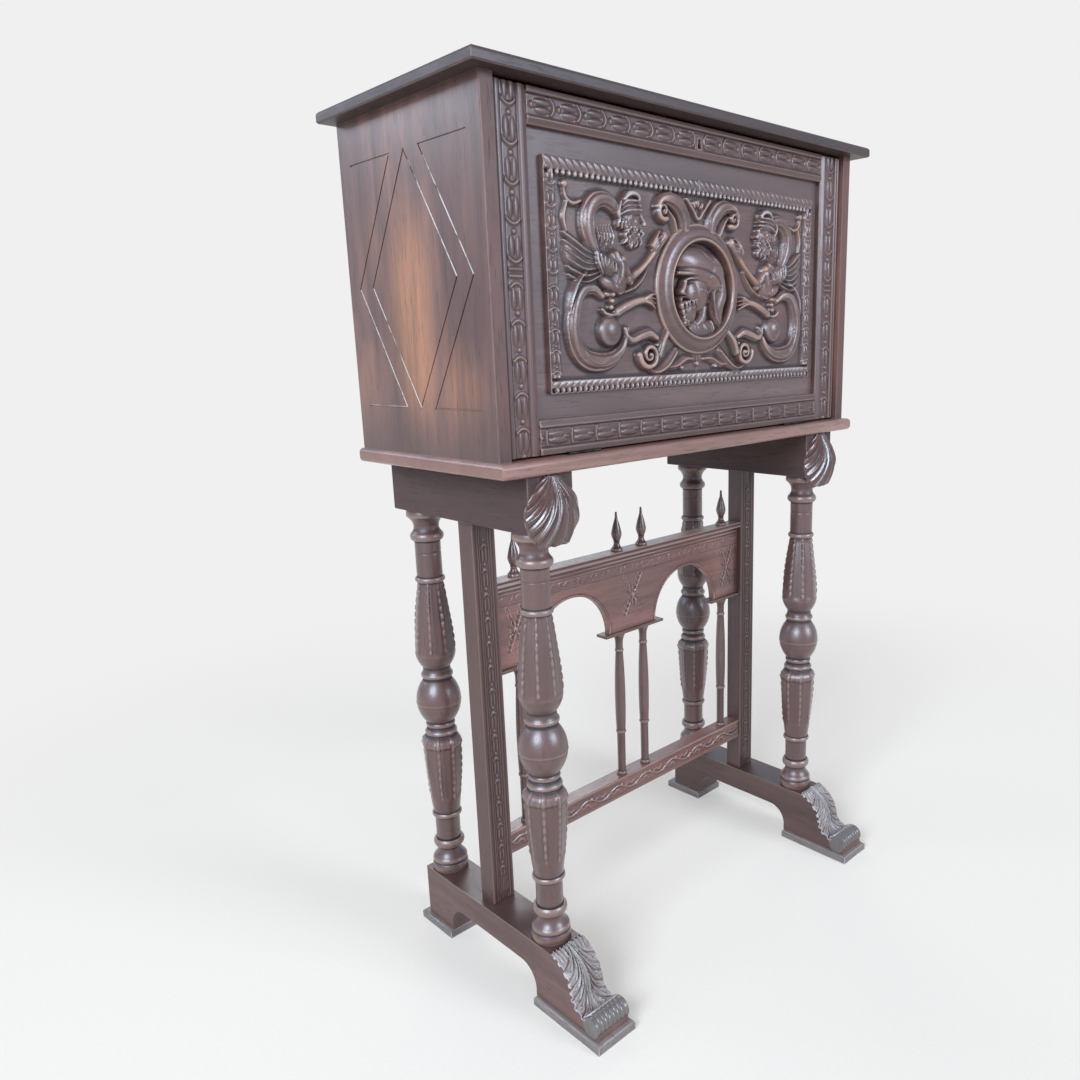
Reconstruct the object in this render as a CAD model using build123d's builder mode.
from build123d import *
import os
from math import hypot

os.makedirs("parts", exist_ok=True)

# Vargueno: a drop-front writing cabinet on a carved trestle stand.
# Millimetres. +Z is up, the front faces -Y, +X is to the right seen from the front.
# The origin lies on the floor, in the middle of the four feet.

# ---- Stand: overall ----------------------------------------------------------
stand_height = 815.0            # floor to the top of the trestles
toe_reach = 106.5               # toes in front of the case
heel_reach = 7.5                # heels behind the case
foot_inset = 76.0               # middle of each sled, and of the columns on it, inside the case's side
beam_inset = 80.0               # middle of each trestle top, and of the post below it, inside the case's side

# ---- Feet --------------------------------------------------------------------
plate_height = 14.0
plate_width = 73.5
plate_easing = 4.0
toe_plate_length = 145.0
heel_plate_length = 88.0
sled_width = 61.5
sled_height = 91.2              # above the foot plates
toe_setback = 7.0               # toe of the sled behind the front of its plate
heel_setback = 16.0             # heel of the sled in front of the back of its plate
toe_flat_setback = 98.0         # front edge of the flat top behind the stand's front
toe_hollow_inset = 31.0         # waist between the scroll and the leaf-carved slope, behind the toe
toe_hollow_height = 22.0        # and above the foot plate
toe_slope_inset = 54.6          # where the slope turns from hollow to round, behind the toe
toe_slope_height = 42.1         # and above the foot plate
toe_shoulder_swell = 9.0        # outward bow of the slope's upper half
toe_hollow_sag = 4.5            # inward bow of its lower half
toe_scroll_swell = 9.0          # outward bow of the scroll
arch_height = 46.5              # gap under the sled, above the foot plates
arch_radius = 34.0
arch_toe_inset = 1.0            # the arch springs this far inside each foot plate

# ---- Columns -----------------------------------------------------------------
column_front_setback = 33.4     # middle of a front column behind the front of the case
column_back_setback = 37.1      # middle of a back column in front of the back of the case
column_foot_radius = 26.0
column_tenon_radius = 11.0
column_tenon_length = 24.0
tenon_clearance = 0.2
# Each member of a turning: height, radius at its top, and how far it swells (+) or hollows (-).
# A fourth number is the share that a long member takes of any change in the turning's length.
column_turning = [
    (0.0, 28.0, 0.0),
    (16.0, 28.0, 2.3),          # foot torus
    (10.0, 26.0, 2.0),
    (18.0, 20.0, -2.5),         # cove
    (0.0, 23.0, 0.0),
    (14.0, 23.0, 3.0),          # ring
    (0.0, 20.5, 0.0),
    (42.0, 20.5, 0.0, 0.12),    # lower shaft
    (0.0, 23.0, 0.0),
    (8.0, 23.0, 2.0),           # ring
    (0.0, 22.0, 0.0),
    (121.0, 31.5, 2.0, 0.35),   # lower vase
    (17.0, 26.0, 4.0),          # its shoulder
    (3.0, 24.0, 0.0),
    (9.0, 24.0, 2.5),           # ring
    (4.0, 21.0, 0.0),
    (10.0, 22.0, 2.5),          # ring
    (74.0, 23.0, 14.0),         # ball
    (3.0, 23.0, 0.0),
    (9.0, 24.0, 2.5),           # ring
    (10.0, 22.5, -1.0),
    (24.0, 32.7, 2.0),          # foot of the upper vase
    (120.0, 20.0, 2.0, 0.35),   # upper vase
    (0.0, 22.0, 0.0),
    (8.0, 22.0, 2.0),           # ring
    (0.0, 20.5, 0.0),
    (60.4, 20.5, 0.0, 0.18),    # upper shaft
    (0.0, 24.0, 0.0),
    (13.0, 23.0, 3.0),          # torus
    (8.0, 20.0, -1.0),
    (18.0, 30.0, -3.0),         # capital
    (12.0, 28.0, 1.0),
]

# ---- Trestle tops, posts and what hangs between them -------------------------
beam_width = 79.0
beam_height = 78.4
beam_front_reach = 2.8          # trestle tops in front of the case
beam_back_setback = 4.8         # and in front of its back
beam_easing = 1.5
post_width = 41.8
post_depth = 32.7
post_offset = 1.65              # middle of the posts behind the middle of the case
post_tenon_width = 24.0
post_tenon_depth = 14.0
post_tenon_length = 20.0
post_easing = 1.5

arcade_offset = 1.5             # middle of the arcade, colonnettes and lower rail behind the case's middle
arcade_thickness = 12.0
arcade_drop = 112.6             # top of the arcade below the underside of the trestle tops
arcade_height = 135.0           # from the spring of the arches up
centre_spandrel = 116.0         # between the two arches
side_spandrel = 73.1            # between an arch and a post
cornice_height = 9.0
cornice_depth = 30.0
cornice_easing = 2.5
abacus_height = 5.0
abacus_depth = 26.0
abacus_overhang = 14.0
abacus_easing = 1.2

rail_top_z = 214.0
rail_height = 37.0
rail_depth = 30.0
rail_easing = 2.0

colonnette_inner_x = 30.5
colonnette_outer_inset = 44.1   # middle of an outer colonnette inside the face of the post
colonnette_foot_radius = 8.5
colonnette_turning = [
    (6.0, 8.5, 1.0),            # foot ring
    (0.0, 7.2, 0.0),
    (75.0, 7.4, 0.0, 0.3),      # lower shaft
    (0.0, 8.2, 0.0),
    (6.0, 8.2, 1.2),            # ring
    (148.0, 6.6, 2.0, 0.7),     # swelling shaft
    (6.0, 6.8, 1.3),            # ring
    (10.0, 6.8, 0.0),
    (16.0, 10.5, -1.0),         # cap
    (3.0, 10.5, 0.0),
]
finial_foot_radius = 10.0
finial_turning = [
    (5.0, 9.0, 1.0),            # disc
    (9.0, 5.0, -1.0),           # neck
    (3.0, 5.0, 1.0),
    (13.0, 9.2, 0.8),           # drop
    (26.0, 2.6, 0.6),
    (12.0, 1.6, 0.0),           # spike
]

# ---- Lopers and their shells -------------------------------------------------
loper_width = 44.0
loper_height = 46.0
loper_back_wall = 18.8          # what is left of the trestle top behind the loper's channel
loper_side_clearance = 0.5
loper_top_clearance = 0.5
loper_bottom_clearance = 0.3
loper_end_clearance = 0.5       # behind the loper's inner end
loper_easing = 1.0
shell_clearance = 0.3           # behind the shell, in front of the trestle top
shell_half_width = 49.0
shell_top_half_width = 14.0
shell_bottom_half_width = 26.0
shell_depth = 21.0              # how far the widest place stands out
shell_height = 97.0
shell_belly_drop = 48.0         # widest place below the top
shell_swell = 2.5               # outward bow above and below the widest place
shell_top_drop = 1.5            # top of the shell below the stand's top

# ---- Case --------------------------------------------------------------------
case_width = 800.0
case_depth = 339.0
board_thickness = 21.0
base_thickness = 20.5
base_overhang_side = 6.0
base_overhang_front = 14.5
base_overhang_back = 4.0
base_round = 7.0
side_height = 454.0
side_easing = 1.5
top_thickness = 15.8
top_overhang_side = 25.4
top_overhang_front = 22.3
top_overhang_back = 7.5
top_round = 6.0
top_lower_easing = 2.0
back_thickness = 12.0

groove_width = 2.6
groove_depth = 1.4
groove_centre_drop = 223.5      # middle of the pattern below the top of the side
lozenge_half_width = 103.0
lozenge_half_height = 165.0
lozenge_band = 35.5             # from the inner lozenge to the outer one
groove_arm_reach = 138.5        # outer ends of the level grooves from the middle

# ---- Fall front --------------------------------------------------------------
flap_recess = 8.0               # face of the fall front behind the front edges of the sides
flap_side_gap = 2.0
flap_bottom_gap = 2.6
flap_top_gap = 3.0
flap_thickness = 24.0
flap_easing = 1.0
stile_width = 53.5
top_rail_height = 43.5
bottom_rail_height = 46.0
frame_tenon_length = 30.0
frame_tenon_thickness = 8.0
frame_tenon_margin = 8.0        # from the outer edge of a rail to its tenon
frame_tenon_shoulder = 4.0      # from the groove in a rail to its tenon
field_recess = 11.0             # face of the flat field behind the face of the frame
field_thickness = 7.0
field_tongue = 8.0              # how far the field enters the frame
field_clearance = 0.3
plaque_side_margin = 23.5       # of the flat field left bare beside the plaque
plaque_top_margin = 30.7
plaque_bottom_margin = 32.7
plaque_thickness = 9.0
plaque_easing = 2.0
relief_height = 9.0             # carved boss above the plaque
medallion_radius = 95.0
medallion_bore_radius = 68.0
medallion_drop = 7.5            # middle of the medallion below the middle of the plaque
medallion_easing = 3.0
keyhole_radius = 3.0
keyhole_slot_width = 3.0
keyhole_slot_height = 9.0
keyhole_drop = 28.0             # below the top of the fall front

# ---- Hinges ------------------------------------------------------------------
hinge_inset = 127.0             # middle of each hinge inside the side of the fall front
hinge_length = 60.0
leaf_thickness = 1.1
leaf_depth = 22.0
knuckle_radius = 2.5
knuckle_end_length = 17.0
knuckle_gap = 0.3
knuckle_offset = 2.8            # hinge axis in front of the face of the fall front
knuckle_relief = 0.6            # room around the knuckle
pin_radius = 1.2
pin_clearance = 0.05

# ---- Lock --------------------------------------------------------------------
lock_width = 64.0
lock_height = 34.0
lock_depth = 9.0
lock_clearance = 0.2
bolt_width = 18.0
bolt_thickness = 4.0
bolt_length = 24.0
bolt_throw = 6.0                # how far the bolt's mortise lets it rise
bolt_clearance = 0.4
strike_width = 44.0
strike_depth = 14.0
strike_thickness = 1.5

# ---- Fitted interior ---------------------------------------------------------
nest_clearance = 2.5            # behind the closed fall front
nest_board = 8.0
partition_x = 116.0
partition_thickness = 10.0
drawer_opening_height = 118.0
drawer_row_margin = 3.5         # from the upper drawer's opening to the top board
drawer_side_clearance = 0.6
drawer_top_clearance = 1.0
drawer_bottom_clearance = 0.3
drawer_setback = 16.0
drawer_back_gap = 26.5          # behind the drawers
drawer_wall = 8.0
drawer_front_thickness = 14.0
drawer_bottom_thickness = 6.0
drawer_easing = 1.0
knob_foot_radius = 5.0
knob_turning = [
    (3.0, 3.5, 0.0),            # neck
    (9.0, 4.0, 4.5),            # ball
]
niche_jamb = 21.0               # beside the niche's arch
niche_spring_drop = 170.0       # spring line below the top board
niche_setback = 4.0
niche_board = 9.0

# ---- Places worked out from the sizes above ----------------------------------
stand_length = toe_reach + case_depth + heel_reach
stand_front_y = -stand_length / 2
stand_back_y = stand_length / 2
case_front_y = stand_front_y + toe_reach
case_back_y = stand_back_y - heel_reach
case_middle_y = (case_front_y + case_back_y) / 2
foot_x = case_width / 2 - foot_inset
beam_x = case_width / 2 - beam_inset
column_front_y = case_front_y + column_front_setback
column_back_y = case_back_y - column_back_setback
post_y = case_middle_y + post_offset
arcade_y = case_middle_y + arcade_offset
sled_top_z = plate_height + sled_height
beam_bottom_z = stand_height - beam_height
base_top_z = stand_height + base_thickness
side_top_z = base_top_z + side_height
inner_half_width = case_width / 2 - board_thickness
inner_back_y = case_back_y - back_thickness

flap_front_y = case_front_y + flap_recess
flap_back_y = flap_front_y + flap_thickness
flap_half_width = inner_half_width - flap_side_gap
flap_bottom_z = base_top_z + flap_bottom_gap
flap_top_z = side_top_z - flap_top_gap
field_half_width = flap_half_width - stile_width
field_bottom_z = flap_bottom_z + bottom_rail_height
field_top_z = flap_top_z - top_rail_height
field_face_y = flap_front_y + field_recess
plaque_width = 2 * (field_half_width - plaque_side_margin)
plaque_bottom_z = field_bottom_z + plaque_bottom_margin
plaque_top_z = field_top_z - plaque_top_margin
plaque_z = (plaque_bottom_z + plaque_top_z) / 2
plaque_face_y = field_face_y - plaque_thickness

hinge_x = flap_half_width - hinge_inset
hinge_y = flap_front_y - knuckle_offset
hinge_z = (base_top_z + flap_bottom_z) / 2
nest_front_y = flap_back_y + nest_clearance
nest_floor_z = base_top_z + nest_board
divider_left_x = partition_x + partition_thickness / 2
drawer_front_y = nest_front_y + drawer_setback
drawer_depth = inner_back_y - drawer_back_gap - drawer_front_y


def keep(piece, label):
    """Name a finished piece and write it to its own file."""
    piece.part.label = label
    export_step(piece.part, f"parts/{label}.step")


def side_name(side):
    return "left" if side < 0 else "right"


def board(x_range, y_range, z_range, easing=0.0):
    """A plain board between two faces in each direction, its edges eased by a small chamfer."""
    width = x_range[1] - x_range[0]
    depth = y_range[1] - y_range[0]
    with BuildPart() as piece:
        with BuildSketch(Plane.XY.offset(z_range[0])):
            with Locations(((x_range[0] + x_range[1]) / 2, (y_range[0] + y_range[1]) / 2)):
                Rectangle(width, depth)
        extrude(amount=z_range[1] - z_range[0])
        if easing:
            chamfer(piece.edges(), easing)
    return piece


def about(middle, size):
    """The two faces of something of a given size about its middle."""
    return (middle - size / 2, middle + size / 2)


def turning_outline(turning, start_radius, length):
    """Both ends of each member of a turning, as (radius, height) twice and its swell, from the bottom up."""
    spare = length - sum(member[0] for member in turning) if length else 0.0
    members = []
    radius = start_radius
    height = 0.0
    for rise, end_radius, swell, *share in turning:
        rise = rise + spare * sum(share)
        members.append((radius, height, end_radius, height + rise, swell))
        radius = end_radius
        height = height + rise
    return members


def turned(turning, start_radius, length, base, tenon_radius=0.0, tenon_length=0.0):
    """A piece turned on the lathe, standing on the plane given, with a round tenon at each end."""
    members = turning_outline(turning, start_radius, length)
    with BuildPart() as piece:
        with BuildSketch(Plane(base.origin, x_dir=(1, 0, 0), z_dir=base.x_dir.cross(base.z_dir))):
            with BuildLine():
                for r0, h0, r1, h1, swell in members:
                    if swell:
                        run = hypot(r1 - r0, h1 - h0)
                        bulge = ((r0 + r1) / 2 + swell * (h1 - h0) / run,
                                 (h0 + h1) / 2 - swell * (r1 - r0) / run)
                        ThreePointArc((r0, h0), bulge, (r1, h1))
                    elif (r0, h0) != (r1, h1):
                        Line((r0, h0), (r1, h1))
                r_end = members[-1][2]
                h_end = members[-1][3]
                Polyline((r_end, h_end), (0, h_end), (0, 0), (start_radius, 0))
            make_face()
        revolve(axis=Axis(base.origin, base.z_dir))
        if tenon_length:
            with BuildSketch(base.offset(-tenon_length)):
                Circle(tenon_radius)
            extrude(amount=length + 2 * tenon_length)
    return piece


# ======== Feet ========
arch_front_y = stand_front_y + toe_plate_length - arch_toe_inset
arch_back_y = stand_back_y - heel_plate_length + arch_toe_inset
toe_y = stand_front_y + toe_setback
toe_flat_y = stand_front_y + toe_flat_setback
heel_y = stand_back_y - heel_setback
hollow_y = toe_y + toe_hollow_inset
hollow_z = plate_height + toe_hollow_height
slope_y = toe_y + toe_slope_inset
slope_z = plate_height + toe_slope_height

for side in (-1, 1):
    name = side_name(side)
    plates = (("front", stand_front_y, stand_front_y + toe_plate_length),
              ("back", stand_back_y - heel_plate_length, stand_back_y))
    for end, y_low, y_high in plates:
        plate = board(about(side * foot_x, plate_width), (y_low, y_high), (0, plate_height))
        with BuildPart() as foot_plate:
            add(plate.part)
            top_edges = foot_plate.edges().group_by(Axis.Z)[-1]
            fillet(top_edges, plate_easing)
        keep(foot_plate, f"foot_plate_{end}_{name}")

    # The sled: flat top, plain heel, arched below, and a toe that falls in a double curve to a scroll.
    with BuildPart() as sled:
        with BuildSketch(Plane.YZ.offset(side * foot_x - sled_width / 2)):
            with BuildLine():
                shoulder = Line((heel_y, plate_height), (heel_y, sled_top_z))
                Line(shoulder @ 1, (toe_flat_y, sled_top_z))
                SagittaArc((toe_flat_y, sled_top_z), (slope_y, slope_z), -toe_shoulder_swell)
                SagittaArc((slope_y, slope_z), (hollow_y, hollow_z), toe_hollow_sag)
                SagittaArc((hollow_y, hollow_z), (toe_y, plate_height), -toe_scroll_swell)
                Line((toe_y, plate_height), (heel_y, plate_height))
            make_face()
        extrude(amount=sled_width)
        with BuildSketch(Plane.YZ.offset(side * foot_x - sled_width / 2)):
            with BuildLine():
                FilletPolyline((arch_front_y, plate_height),
                               (arch_front_y, plate_height + arch_height),
                               (arch_back_y, plate_height + arch_height),
                               (arch_back_y, plate_height),
                               radius=arch_radius)
                Line((arch_back_y, plate_height), (arch_front_y, plate_height))
            make_face()
        extrude(amount=sled_width, mode=Mode.SUBTRACT)
        mortises = Plane.XY.offset(sled_top_z)
        with BuildSketch(mortises):
            with Locations((side * foot_x, column_front_y), (side * foot_x, column_back_y)):
                Circle(column_tenon_radius + tenon_clearance)
        extrude(amount=-(column_tenon_length + tenon_clearance), mode=Mode.SUBTRACT)
        with BuildSketch(mortises):
            with Locations((side * beam_x, post_y)):
                Rectangle(post_tenon_width + 2 * tenon_clearance, post_tenon_depth + 2 * tenon_clearance)
        extrude(amount=-(post_tenon_length + tenon_clearance), mode=Mode.SUBTRACT)
    keep(sled, f"sled_{name}")

# ======== Columns and posts ========
for side in (-1, 1):
    name = side_name(side)
    for end, y in (("front", column_front_y), ("back", column_back_y)):
        column = turned(column_turning, column_foot_radius, beam_bottom_z - sled_top_z,
                        Plane((side * foot_x, y, sled_top_z)), column_tenon_radius, column_tenon_length)
        keep(column, f"column_{end}_{name}")

    with BuildPart() as post:
        with BuildSketch(Plane.XY.offset(sled_top_z)):
            with Locations((side * beam_x, post_y)):
                Rectangle(post_width, post_depth)
        extrude(amount=beam_bottom_z - sled_top_z)
        chamfer(post.edges().filter_by(Axis.Z), post_easing)
        with BuildSketch(Plane.XY.offset(sled_top_z - post_tenon_length)):
            with Locations((side * beam_x, post_y)):
                Rectangle(post_tenon_width, post_tenon_depth)
        extrude(amount=beam_bottom_z - sled_top_z + 2 * post_tenon_length)
    keep(post, f"post_{name}")

# ======== Trestle tops ========
channel_width = loper_width + 2 * loper_side_clearance
channel_depth = loper_height + loper_top_clearance + loper_bottom_clearance
beam_front_y = case_front_y - beam_front_reach
beam_back_y = case_back_y - beam_back_setback
channel_end_y = beam_back_y - loper_back_wall
loper_front_y = beam_front_y - shell_clearance
loper_back_y = channel_end_y - loper_end_clearance
for side in (-1, 1):
    name = side_name(side)
    with BuildPart() as beam:
        with BuildSketch(Plane.XY.offset(beam_bottom_z)):
            with Locations((side * beam_x, (beam_front_y + beam_back_y) / 2)):
                Rectangle(beam_width, beam_back_y - beam_front_y)
        extrude(amount=beam_height)
        chamfer(beam.edges(), beam_easing)
        with BuildSketch(Plane.XY.offset(stand_height)):
            with Locations((side * beam_x, (beam_front_y + channel_end_y) / 2)):
                Rectangle(channel_width, channel_end_y - beam_front_y)
        extrude(amount=-channel_depth, mode=Mode.SUBTRACT)
        with BuildSketch(Plane.XY.offset(beam_bottom_z)):
            with Locations((side * foot_x, column_front_y), (side * foot_x, column_back_y)):
                Circle(column_tenon_radius + tenon_clearance)
        extrude(amount=column_tenon_length + tenon_clearance, mode=Mode.SUBTRACT)
        with BuildSketch(Plane.XY.offset(beam_bottom_z)):
            with Locations((side * beam_x, post_y)):
                Rectangle(post_tenon_width + 2 * tenon_clearance, post_tenon_depth + 2 * tenon_clearance)
        extrude(amount=post_tenon_length + tenon_clearance, mode=Mode.SUBTRACT)
    keep(beam, f"beam_{name}")

    loper_top_z = stand_height - loper_top_clearance
    loper = board(about(side * beam_x, loper_width), (loper_front_y, loper_back_y),
                  (loper_top_z - loper_height, loper_top_z), loper_easing)
    keep(loper, f"loper_{name}")

    # Scallop shell: a shallow slice of a turned form, narrow at its hinge above and fuller below.
    shell_top_z = stand_height - shell_top_drop
    shell_bottom_z = shell_top_z - shell_height
    belly_z = shell_top_z - shell_belly_drop
    shell_axis_setback = (shell_half_width ** 2 - shell_depth ** 2) / (2 * shell_depth)
    shell_axis_y = loper_front_y + shell_axis_setback
    shell_radius = (shell_half_width ** 2 + shell_axis_setback ** 2) ** 0.5
    shell_top_radius = (shell_top_half_width ** 2 + shell_axis_setback ** 2) ** 0.5
    shell_bottom_radius = (shell_bottom_half_width ** 2 + shell_axis_setback ** 2) ** 0.5
    with BuildPart() as shell:
        with BuildSketch(Plane((side * beam_x, shell_axis_y, 0), x_dir=(1, 0, 0), z_dir=(0, -1, 0))):
            with BuildLine():
                Line((0, shell_bottom_z), (0, shell_top_z))
                Line((0, shell_top_z), (shell_top_radius, shell_top_z))
                SagittaArc((shell_top_radius, shell_top_z), (shell_radius, belly_z), -shell_swell)
                SagittaArc((shell_radius, belly_z), (shell_bottom_radius, shell_bottom_z), -shell_swell)
                Line((shell_bottom_radius, shell_bottom_z), (0, shell_bottom_z))
            make_face()
        revolve(axis=Axis((side * beam_x, shell_axis_y, 0), (0, 0, 1)))
        split(bisect_by=Plane((0, loper_front_y, 0), x_dir=(1, 0, 0), z_dir=(0, -1, 0)), keep=Keep.TOP)
    keep(shell, f"shell_{name}")

# ======== Arcade, colonnettes, finials, lower rail ========
post_inner_x = beam_x - post_width / 2
arch_span_radius = (post_inner_x - side_spandrel - centre_spandrel / 2) / 2
arch_centre_x = centre_spandrel / 2 + arch_span_radius
arcade_top_z = beam_bottom_z - arcade_drop
arcade_spring_z = arcade_top_z - arcade_height
cornice_top_z = arcade_top_z + cornice_height
with BuildPart() as arcade:
    with BuildSketch(Plane((0, arcade_y + arcade_thickness / 2, 0), x_dir=(1, 0, 0), z_dir=(0, -1, 0))):
        with Locations((0, (arcade_spring_z + arcade_top_z) / 2)):
            Rectangle(2 * post_inner_x, arcade_top_z - arcade_spring_z)
        with Locations((-arch_centre_x, arcade_spring_z), (arch_centre_x, arcade_spring_z)):
            Circle(arch_span_radius, mode=Mode.SUBTRACT)
    extrude(amount=arcade_thickness)
    cornice = board((-post_inner_x, post_inner_x), about(arcade_y, cornice_depth),
                    (arcade_top_z, cornice_top_z))
    with BuildPart(mode=Mode.PRIVATE) as eased_cornice:
        add(cornice.part)
        fillet(eased_cornice.edges().filter_by(Axis.X), cornice_easing)
    add(eased_cornice.part)
keep(arcade, "arcade_panel")

with BuildPart() as abaci:
    with BuildSketch(Plane.XY.offset(arcade_spring_z - abacus_height)):
        with Locations((0, arcade_y)):
            Rectangle(centre_spandrel + 2 * abacus_overhang, abacus_depth)
        outer_width = side_spandrel + abacus_overhang
        with Locations((post_inner_x - outer_width / 2, arcade_y), (outer_width / 2 - post_inner_x, arcade_y)):
            Rectangle(outer_width, abacus_depth)
    extrude(amount=abacus_height)
    chamfer(abaci.edges().filter_by(Axis.X), abacus_easing)
keep(abaci, "arcade_abaci")

colonnette_outer_x = post_inner_x - colonnette_outer_inset
colonnette_places = (-colonnette_outer_x, -colonnette_inner_x, colonnette_inner_x, colonnette_outer_x)
colonnette_length = arcade_spring_z - abacus_height - rail_top_z
for number, x in enumerate(colonnette_places, start=1):
    colonnette = turned(colonnette_turning, colonnette_foot_radius, colonnette_length,
                        Plane((x, arcade_y, rail_top_z)))
    keep(colonnette, f"colonnette_{number}")

with BuildPart() as finials:
    for x in colonnette_places:
        spike = turned(finial_turning, finial_foot_radius, 0.0, Plane((x, arcade_y, cornice_top_z)))
        add(spike.part)
keep(finials, "finials")

lower_rail = board((-post_inner_x, post_inner_x), about(arcade_y, rail_depth),
                   (rail_top_z - rail_height, rail_top_z))
with BuildPart() as eased_rail:
    add(lower_rail.part)
    fillet(eased_rail.edges().filter_by(Axis.X), rail_easing)
keep(eased_rail, "lower_rail")

# ======== Case ========
base_half_width = case_width / 2 + base_overhang_side
with BuildPart() as base_board:
    with BuildSketch(Plane.XY.offset(stand_height)):
        with Locations((0, (case_front_y - base_overhang_front + case_back_y + base_overhang_back) / 2)):
            Rectangle(2 * base_half_width, case_depth + base_overhang_front + base_overhang_back)
    extrude(amount=base_thickness)
    back_face = base_board.faces().sort_by(Axis.Y)[-1]
    moulded = [edge for edge in base_board.edges().filter_by(Axis.Z, reverse=True)
               if edge not in back_face.edges()]
    fillet(moulded, base_round)
    # Room for the hinge knuckles.
    with BuildSketch(Plane.XY.offset(base_top_z)):
        with Locations((-hinge_x, hinge_y), (hinge_x, hinge_y)):
            Rectangle(hinge_length + 2 * knuckle_relief, 2 * (knuckle_radius + knuckle_relief))
    extrude(amount=-(knuckle_radius + knuckle_relief - flap_bottom_gap / 2), mode=Mode.SUBTRACT)
keep(base_board, "base_board")


def groove_paths():
    """The incised lines on a case side: a lozenge inside a broken one, about (0, 0)."""
    w = lozenge_half_width
    h = lozenge_half_height
    band = lozenge_band
    inner = [(0, h), (w, 0), (0, -h), (-w, 0), (0, h)]
    outer = [(groove_arm_reach, h), (band, h), (w + band, 0), (band, -h), (groove_arm_reach, -h)]
    return [inner, outer, [(-x, y) for x, y in outer]]


groove_z = side_top_z - groove_centre_drop
groove_y = case_middle_y
for side in (-1, 1):
    outer_x = side * case_width / 2
    side_board = board(about(side * (case_width - board_thickness) / 2, board_thickness),
                       (case_front_y, case_back_y), (base_top_z, side_top_z))
    with BuildPart() as side_panel:
        add(side_board.part)
        chamfer(side_panel.edges().filter_by(Axis.Z), side_easing)
        for path in groove_paths():
            with BuildSketch(Plane((outer_x, groove_y, groove_z), x_dir=(0, 1, 0), z_dir=(1, 0, 0))):
                with BuildLine():
                    Polyline(*path)
                trace(line_width=groove_width)
            extrude(amount=-side * groove_depth, mode=Mode.SUBTRACT)
    keep(side_panel, f"side_{side_name(side)}")

back_panel = board((-inner_half_width, inner_half_width), (inner_back_y, case_back_y),
                   (base_top_z, side_top_z))
keep(back_panel, "back_panel")

bolt_y = flap_back_y - lock_depth / 2
strike_hole_width = bolt_width + 2 * bolt_clearance
strike_hole_depth = bolt_thickness + 2 * bolt_clearance
strike_bottom_z = side_top_z - strike_thickness
top_half_width = case_width / 2 + top_overhang_side
top_front_y = case_front_y - top_overhang_front
top_back_y = case_back_y + top_overhang_back
with BuildPart() as top_board:
    with BuildSketch(Plane.XY.offset(side_top_z)):
        with Locations((0, (top_front_y + top_back_y) / 2)):
            Rectangle(2 * top_half_width, top_back_y - top_front_y)
    extrude(amount=top_thickness)
    fillet(top_board.edges().group_by(Axis.Z)[-1], top_round)
    chamfer(top_board.edges().group_by(Axis.Z)[0], top_lower_easing)
    with BuildSketch(Plane.XY.offset(side_top_z)):
        with Locations((0, bolt_y)):
            Rectangle(strike_hole_width, strike_hole_depth)
    extrude(amount=bolt_throw + bolt_clearance, mode=Mode.SUBTRACT)
keep(top_board, "top_board")

with BuildPart() as strike_plate:
    with BuildSketch(Plane.XY.offset(strike_bottom_z)):
        with Locations((0, bolt_y)):
            Rectangle(strike_width, strike_depth)
            Rectangle(strike_hole_width, strike_hole_depth, mode=Mode.SUBTRACT)
    extrude(amount=strike_thickness)
keep(strike_plate, "strike_plate")

# ======== Fitted interior ========
nest_y_range = (nest_front_y, inner_back_y)
nest_floor = board((-inner_half_width, inner_half_width), nest_y_range, (base_top_z, nest_floor_z))
keep(nest_floor, "nest_floor")
for side in (-1, 1):
    partition = board(about(side * partition_x, partition_thickness), nest_y_range,
                      (nest_floor_z, side_top_z))
    keep(partition, f"nest_partition_{side_name(side)}")

# Two shelves on each side of the middle: one under each drawer.
upper_shelf_z = side_top_z - drawer_row_margin - drawer_opening_height
lower_shelf_z = upper_shelf_z - nest_board - drawer_opening_height
shelf_width = inner_half_width - divider_left_x
with BuildPart() as dividers:
    for side in (-1, 1):
        for shelf_z in (lower_shelf_z, upper_shelf_z):
            with BuildSketch(Plane.XY.offset(shelf_z - nest_board)):
                with Locations((side * (divider_left_x + inner_half_width) / 2,
                                (nest_front_y + inner_back_y) / 2)):
                    Rectangle(shelf_width, inner_back_y - nest_front_y)
            extrude(amount=nest_board)
keep(dividers, "nest_dividers")

niche_half_width = partition_x - partition_thickness / 2
niche_arch_radius = niche_half_width - niche_jamb
niche_spring_z = side_top_z - niche_spring_drop
with BuildPart() as niche_arch:
    niche_plane = Plane((0, nest_front_y + niche_setback + niche_board, 0), x_dir=(1, 0, 0), z_dir=(0, -1, 0))
    with BuildSketch(niche_plane):
        with Locations((0, (nest_floor_z + side_top_z) / 2)):
            Rectangle(2 * niche_half_width, side_top_z - nest_floor_z)
        with Locations((0, niche_spring_z)):
            Circle(niche_arch_radius, mode=Mode.SUBTRACT)
        with Locations((0, (nest_floor_z + niche_spring_z) / 2)):
            Rectangle(2 * niche_arch_radius, niche_spring_z - nest_floor_z, mode=Mode.SUBTRACT)
    extrude(amount=niche_board)
keep(niche_arch, "niche_arch")

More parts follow.
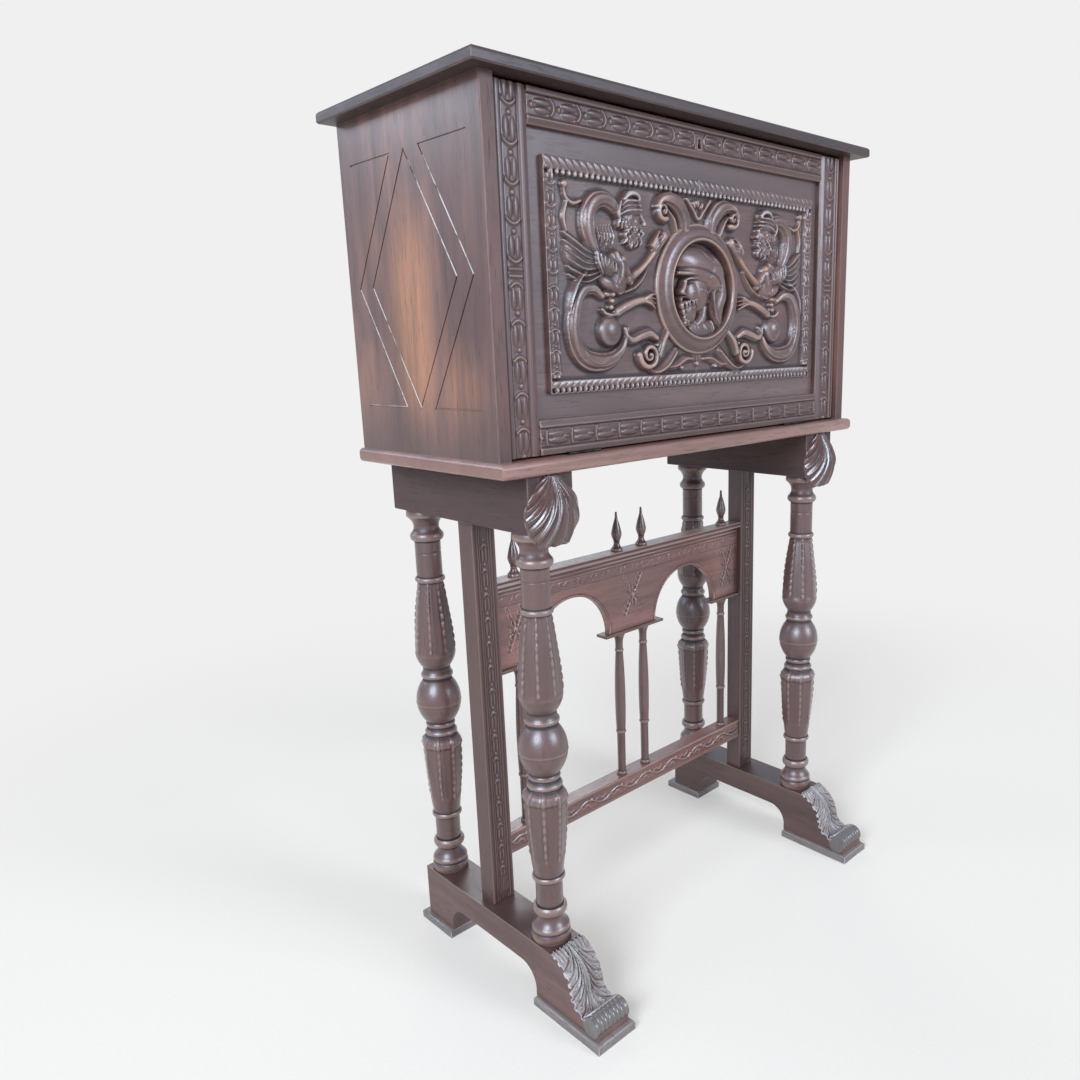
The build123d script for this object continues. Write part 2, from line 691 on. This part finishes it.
drawer_width = shelf_width - 2 * drawer_side_clearance
drawer_height = drawer_opening_height - drawer_bottom_clearance - drawer_top_clearance
for side in (-1, 1):
    for row, shelf_z in (("lower", lower_shelf_z), ("upper", upper_shelf_z)):
        drawer_x = side * (divider_left_x + inner_half_width) / 2
        drawer_z = shelf_z + drawer_bottom_clearance
        solid = board(about(drawer_x, drawer_width), (drawer_front_y, drawer_front_y + drawer_depth),
                      (drawer_z, drawer_z + drawer_height), drawer_easing)
        with BuildPart() as drawer:
            add(solid.part)
            inside_front = drawer_front_y + drawer_front_thickness
            inside_back = drawer_front_y + drawer_depth - drawer_wall
            with BuildSketch(Plane.XY.offset(drawer_z + drawer_bottom_thickness)):
                with Locations((drawer_x, (inside_front + inside_back) / 2)):
                    Rectangle(drawer_width - 2 * drawer_wall, inside_back - inside_front)
            extrude(amount=drawer_height, mode=Mode.SUBTRACT)
        keep(drawer, f"drawer_{row}_{side_name(side)}")
        knob = turned(knob_turning, knob_foot_radius, 0.0,
                      Plane((drawer_x, drawer_front_y, drawer_z + drawer_height / 2),
                            x_dir=(1, 0, 0), z_dir=(0, -1, 0)))
        keep(knob, f"knob_{row}_{side_name(side)}")

# ======== Fall front ========
flap_y_range = (flap_front_y, flap_back_y)
field_groove = field_thickness + 2 * field_clearance
field_groove_y = field_face_y - field_clearance
tenon_y_range = about((flap_front_y + flap_back_y) / 2, frame_tenon_thickness)
tenon_z_ranges = ((flap_bottom_z + frame_tenon_margin, field_bottom_z - field_tongue - frame_tenon_shoulder),
                  (field_top_z + field_tongue + frame_tenon_shoulder, flap_top_z - frame_tenon_margin))
for side in (-1, 1):
    outer = board(sorted((side * flap_half_width, side * field_half_width)), flap_y_range,
                  (flap_bottom_z, flap_top_z), flap_easing)
    groove_end = field_half_width + field_tongue + field_clearance
    with BuildPart() as stile:
        add(outer.part)
        groove = board(sorted((side * field_half_width, side * groove_end)),
                       (field_groove_y, field_groove_y + field_groove),
                       (field_bottom_z - field_tongue, field_top_z + field_tongue))
        add(groove.part, mode=Mode.SUBTRACT)
        for z_low, z_high in tenon_z_ranges:
            mortise = board(sorted((side * field_half_width,
                                    side * (field_half_width + frame_tenon_length + tenon_clearance))),
                            (tenon_y_range[0] - tenon_clearance, tenon_y_range[1] + tenon_clearance),
                            (z_low - tenon_clearance, z_high + tenon_clearance))
            add(mortise.part, mode=Mode.SUBTRACT)
    keep(stile, f"flap_stile_{side_name(side)}")

keyhole_plane = Plane((0, flap_front_y, flap_top_z - keyhole_drop), x_dir=(1, 0, 0), z_dir=(0, -1, 0))
with BuildSketch(keyhole_plane) as keyhole:
    Circle(keyhole_radius)
    with Locations((0, keyhole_slot_height / 2)):
        Rectangle(keyhole_slot_width, keyhole_slot_height)

for label, z_low, z_high, tenon_z_range in (
        ("flap_rail_bottom", flap_bottom_z, field_bottom_z, tenon_z_ranges[0]),
        ("flap_rail_top", field_top_z, flap_top_z, tenon_z_ranges[1])):
    plain = board((-field_half_width, field_half_width), flap_y_range, (z_low, z_high))
    groove_z_range = ((z_high - field_tongue - field_clearance, z_high) if label.endswith("bottom")
                      else (z_low, z_low + field_tongue + field_clearance))
    with BuildPart() as rail:
        add(plain.part)
        chamfer(rail.edges().filter_by(Axis.X), flap_easing)
        groove = board((-field_half_width, field_half_width),
                       (field_groove_y, field_groove_y + field_groove), groove_z_range)
        add(groove.part, mode=Mode.SUBTRACT)
        tenon_reach = field_half_width + frame_tenon_length
        tenons = board((-tenon_reach, tenon_reach), tenon_y_range, tenon_z_range)
        add(tenons.part)
        if label.endswith("top"):
            # Keyhole from the face, and the mortise for the lock.
            extrude(to_extrude=keyhole.sketch, amount=-flap_thickness, mode=Mode.SUBTRACT)
            mortise = board(about(0, lock_width + 2 * lock_clearance),
                            (flap_back_y - lock_depth - lock_clearance, flap_back_y),
                            (flap_top_z - lock_height - lock_clearance, flap_top_z))
            add(mortise.part, mode=Mode.SUBTRACT)
    keep(rail, label)

field_panel = board((-field_half_width - field_tongue, field_half_width + field_tongue),
                    (field_face_y, field_face_y + field_thickness),
                    (field_bottom_z - field_tongue, field_top_z + field_tongue))
keep(field_panel, "flap_panel")

# The carved plaque: a raised board with a round medallion standing on it.
with BuildPart() as plaque:
    with BuildSketch(Plane((0, field_face_y, plaque_z), x_dir=(1, 0, 0), z_dir=(0, -1, 0))):
        Rectangle(plaque_width, plaque_top_z - plaque_bottom_z)
    extrude(amount=plaque_thickness)
    chamfer(plaque.edges().group_by(Axis.Y)[0], plaque_easing)
    with BuildSketch(Plane((0, plaque_face_y, plaque_z - medallion_drop), x_dir=(1, 0, 0), z_dir=(0, -1, 0))):
        Circle(medallion_radius)
        Circle(medallion_bore_radius, mode=Mode.SUBTRACT)
    extrude(amount=relief_height)
    chamfer(plaque.faces().sort_by(Axis.Y)[0].edges(), medallion_easing)
keep(plaque, "plaque")

# ======== Hinges ========
knuckle_middle_length = hinge_length - 2 * (knuckle_end_length + knuckle_gap)


def hinge_leaf(moving):
    """Both hinges' leaves of one kind: flat plates with rolled knuckles about the hinge axis."""
    z_low = flap_bottom_z - leaf_thickness if moving else base_top_z
    with BuildPart() as leaves:
        for centre_x in (-hinge_x, hinge_x):
            start = centre_x - hinge_length / 2
            end = centre_x + hinge_length / 2
            if moving:
                segments = [about(centre_x, knuckle_middle_length)]
            else:
                segments = [(start, start + knuckle_end_length), (end - knuckle_end_length, end)]
            plate = board((start, end), (hinge_y + knuckle_radius + knuckle_relief, hinge_y + leaf_depth),
                          (z_low, z_low + leaf_thickness))
            add(plate.part)
            for x_low, x_high in segments:
                web = board((x_low, x_high), (hinge_y, hinge_y + knuckle_radius + knuckle_relief),
                            (z_low, z_low + leaf_thickness))
                add(web.part)
                with BuildSketch(Plane.YZ.offset(x_low)):
                    with Locations((hinge_y, hinge_z)):
                        Circle(knuckle_radius)
                extrude(amount=x_high - x_low)
            with BuildSketch(Plane.YZ.offset(start)):
                with Locations((hinge_y, hinge_z)):
                    Circle(pin_radius + pin_clearance)
            extrude(amount=hinge_length, mode=Mode.SUBTRACT)
    return leaves


keep(hinge_leaf(False), "hinge_leaves_fixed")
keep(hinge_leaf(True), "hinge_leaves_moving")
with BuildPart() as hinge_pins:
    for centre_x in (-hinge_x, hinge_x):
        with BuildSketch(Plane.YZ.offset(centre_x - hinge_length / 2)):
            with Locations((hinge_y, hinge_z)):
                Circle(pin_radius)
        extrude(amount=hinge_length)
keep(hinge_pins, "hinge_pins")

# ======== Lock ========
# The bolt lies flush with the top of the case when it is drawn, and rises into the strike plate.
lock_y_range = (flap_back_y - lock_depth, flap_back_y)
lock_box = board(about(0, lock_width), lock_y_range, (flap_top_z - lock_height, flap_top_z))
with BuildPart() as lock_case:
    add(lock_box.part)
    with BuildSketch(Plane.XY.offset(flap_top_z)):
        with Locations((0, bolt_y)):
            Rectangle(bolt_width + 2 * bolt_clearance, bolt_thickness + 2 * bolt_clearance)
    extrude(amount=-(bolt_length + bolt_clearance), mode=Mode.SUBTRACT)
    key_reach = bolt_y - flap_front_y
    extrude(to_extrude=keyhole.sketch, amount=-key_reach, mode=Mode.SUBTRACT)
keep(lock_case, "lock_case")

lock_bolt = board(about(0, bolt_width), about(bolt_y, bolt_thickness),
                  (flap_top_z - bolt_length, flap_top_z))
keep(lock_bolt, "lock_bolt")
